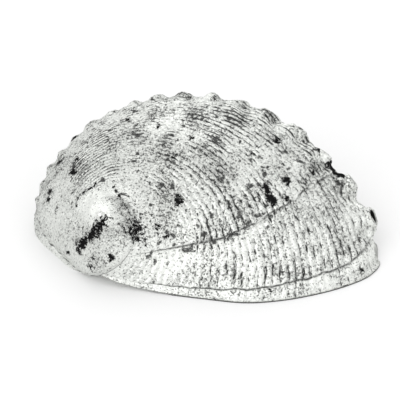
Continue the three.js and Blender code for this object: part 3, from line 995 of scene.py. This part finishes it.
def antiqued_silver(finish):
    """Silver leaf rubbed over black: pale satin metal on the high places, black in the recesses."""
    material, tree, shader = new_material("antiqued_silver_coat")
    place = add_node(tree, "TexCoord", result="Object")
    growth = add_node(tree, "Attribute", {"attribute_name": "growth_place"}, "Vector")
    values = {}
    for name in SKIN_MARKS:
        values[name] = add_node(tree, "Attribute", {"attribute_name": name}, "Fac")
    for name, size, detail, roughness in SILVER_NOISE:
        values[name] = add_node(tree, "TexNoise", Vector=place, Scale=1 / (size * MM),
                                Detail=detail, Roughness=roughness)
    for name, across, along, detail, roughness in GROWTH_NOISE:
        scale = (1 / (across * MM), 1 / (along * MM), 1)
        drawn_out = add_node(tree, "Mapping", Vector=growth, Scale=scale)
        values[name] = add_node(tree, "TexNoise", Vector=drawn_out, Scale=1.0,
                                Detail=detail, Roughness=roughness)

    # Specks crowd together in patches and by stains, and thin out on the worn spire.
    crowd = add_node(tree, "MapRange", Value=values["patch"], **CROWDED_PATCHES)
    for name, share in CROWDING.items():
        crowd = add_node(tree, "Math", WEIGHED_SUM, i0=values[name], i1=share, i2=crowd)
    values["crowd"] = crowd

    # Black lies in specks and dots, in dashes along the grooves between the ribs, in pits, stains and cracks,
    # and as painted shade inside the open holes.
    broken = add_node(tree, "MapRange", Value=values["speck"], **BROKEN_CRACKS)
    cracks = add_node(tree, "Math", {"operation": "MULTIPLY"}, i0=values["crack"], i1=broken)
    dark = add_node(tree, "Math", {"operation": "MAXIMUM"}, i0=values["hole_shade"], i1=cracks)
    for shares, start, full, most in BLACK_LAYERS:
        total = 0.0
        for name, share in shares.items():
            total = add_node(tree, "Math", WEIGHED_SUM, i0=values[name], i1=share, i2=total)
        layer = add_node(tree, "MapRange", Value=total, From_Min=start, From_Max=full, To_Max=most)
        dark = add_node(tree, "Math", {"operation": "MAXIMUM"}, i0=dark, i1=layer)

    # Grain, growth lines and patches dull the silver between the specks; the marks add painted shade on the
    # upper part, in the fold valleys and on the far wall.
    dullness_and_shade = 0.0
    for name, start, full, most in DULL_LAYERS:
        layer = add_node(tree, "MapRange", Value=values[name], From_Min=start, From_Max=full, To_Max=most)
        dullness_and_shade = add_node(tree, "Math", {"operation": "ADD"}, i0=layer, i1=dullness_and_shade)
    for name, share in DULLING.items():
        dullness_and_shade = add_node(tree, "Math", WEIGHED_SUM, i0=values[name], i1=share, i2=dullness_and_shade)

    paint_silver(tree, finish, dullness_and_shade, dark, shader)
    for name, full, bare, black in (*COAT_RANGES, ("Roughness", 1.0, finish.roughness, PATINA_ROUGHNESS)):
        value = add_node(tree, "MapRange", Value=dark, From_Max=full, To_Min=bare, To_Max=black)
        tree.links.new(value, shader.inputs[name])
    # The coat is slightly crusty, and the black lies a little lower than the silver.
    crust = add_node(tree, "Math", WEIGHED_SUM, i0=dark, i1=-BLACK_DEPTH, i2=values["grain"])
    bump = add_node(tree, "Bump", Strength=CRUST_STRENGTH, Distance=CRUST_DEPTH * MM, Height=crust)
    tree.links.new(bump, shader.inputs["Normal"])
    return material


def satin_lining(finish):
    """Silver over the smooth inside: even satin metal with soft clouds, and a painted shadow line along the
    bare edge.
    """
    material, tree, shader = new_material("satin_silver_lining")
    place = add_node(tree, "TexCoord", result="Object")
    # The edge attribute is the painted shadow line along the bare edge.
    edge = add_node(tree, "Attribute", {"attribute_name": "edge"}, "Fac")
    cloud = add_node(tree, "TexNoise", Vector=place, Scale=1 / (CLOUD_SIZE * MM), Detail=CLOUD_DETAIL)
    paint_silver(tree, finish, cloud, edge, shader)
    shader.inputs["Metallic"].default_value = LINING_METALLIC
    shader.inputs["Roughness"].default_value = LINING_ROUGHNESS
    ripple = add_node(tree, "Bump", Strength=RIPPLE_STRENGTH, Distance=RIPPLE_DEPTH * MM, Height=cloud)
    tree.links.new(ripple, shader.inputs["Normal"])
    return material


def plain_floor(colour):
    """Seamless white paper, matt."""
    material, _, shader = new_material("white_paper")
    shader.inputs["Base Color"].default_value = (*colour, 1)
    shader.inputs["Roughness"].default_value = PAPER_ROUGHNESS
    return material


class SetStudio(bpy.types.Operator):
    """Lay the floor and set the lights and the camera"""

    bl_idname = "object.set_abalone_studio"
    bl_label = "Set abalone studio"
    bl_options = {"REGISTER", "UNDO"}

    def execute(self, context):
        studio = context.scene.shell_studio
        deselect_all()
        bpy.ops.mesh.primitive_plane_add(size=FLOOR_SIZE)
        floor = context.object
        floor.name = "studio_floor"
        floor.data.materials.append(plain_floor(studio.floor))
        self.lights(context)
        self.camera(context, studio)
        return {"FINISHED"}

    def lights(self, context):
        """Even light from all round, and three soft panels."""
        scene = context.scene
        world = bpy.data.worlds.new("studio")
        world.use_nodes = True
        background = world.node_tree.nodes["Background"]
        background.inputs["Color"].default_value = (1, 1, 1, 1)
        background.inputs["Strength"].default_value = WORLD_STRENGTH
        scene.world = world
        scene.view_settings.view_transform = "Standard"
        for name, place, size, power in LIGHTS:
            deselect_all()
            bpy.ops.object.light_add(type="AREA", location=place)
            light = context.object
            light.name = name
            light.data.size = size
            light.data.energy = power
            toward = Vector(LIGHT_AIM) - Vector(place)
            light.rotation_euler = toward.to_track_quat("-Z", "Y").to_euler()

    def camera(self, context, studio):
        """A long lens from the photo's direction, with the shell where it is in the photo's frame."""
        back = Vector((
            math.sin(studio.azimuth) * math.cos(studio.elevation),
            -math.cos(studio.azimuth) * math.cos(studio.elevation),
            math.sin(studio.elevation),
        ))
        right = Vector((math.cos(studio.azimuth), math.sin(studio.azimuth), 0))
        up = back.cross(right)
        aim = Vector(CAMERA_AIM) + right * FRAME_RIGHT + up * FRAME_UP
        deselect_all()
        bpy.ops.object.camera_add(location=aim + back * studio.distance)
        camera = context.object
        camera.rotation_euler = (-back).to_track_quat("-Z", "Y").to_euler()
        camera.data.lens = studio.lens
        camera.data.sensor_width = SENSOR_WIDTH
        context.scene.camera = camera


class ShellPanel(bpy.types.Panel):
    """Lists the steps that make the shell"""

    bl_idname = "VIEW3D_PT_abalone_shell"
    bl_label = "Abalone shell"
    bl_space_type = "VIEW_3D"
    bl_region_type = "UI"
    bl_category = "Abalone"

    def draw(self, context):
        layout = self.layout
        for operator in (GrowShell, SetStudio):
            layout.operator(operator.bl_idname)


SETTINGS = {
    "shell_shape": ShellShape, "shell_relief": ShellRelief, "silver_finish": SilverFinish,
    "shell_studio": StudioSettings,
}
CLASSES = (*SETTINGS.values(), GrowShell, SetStudio, ShellPanel)


def register():
    for kind in CLASSES:
        bpy.utils.register_class(kind)
    for name, kind in SETTINGS.items():
        setattr(bpy.types.Scene, name, PointerProperty(type=kind))


def unregister():
    for name in SETTINGS:
        delattr(bpy.types.Scene, name)
    for kind in reversed(CLASSES):
        bpy.utils.unregister_class(kind)


def main():
    register()
    bpy.ops.object.grow_abalone_shell()
    bpy.ops.object.set_abalone_studio()


if __name__ == "__main__":
    main()
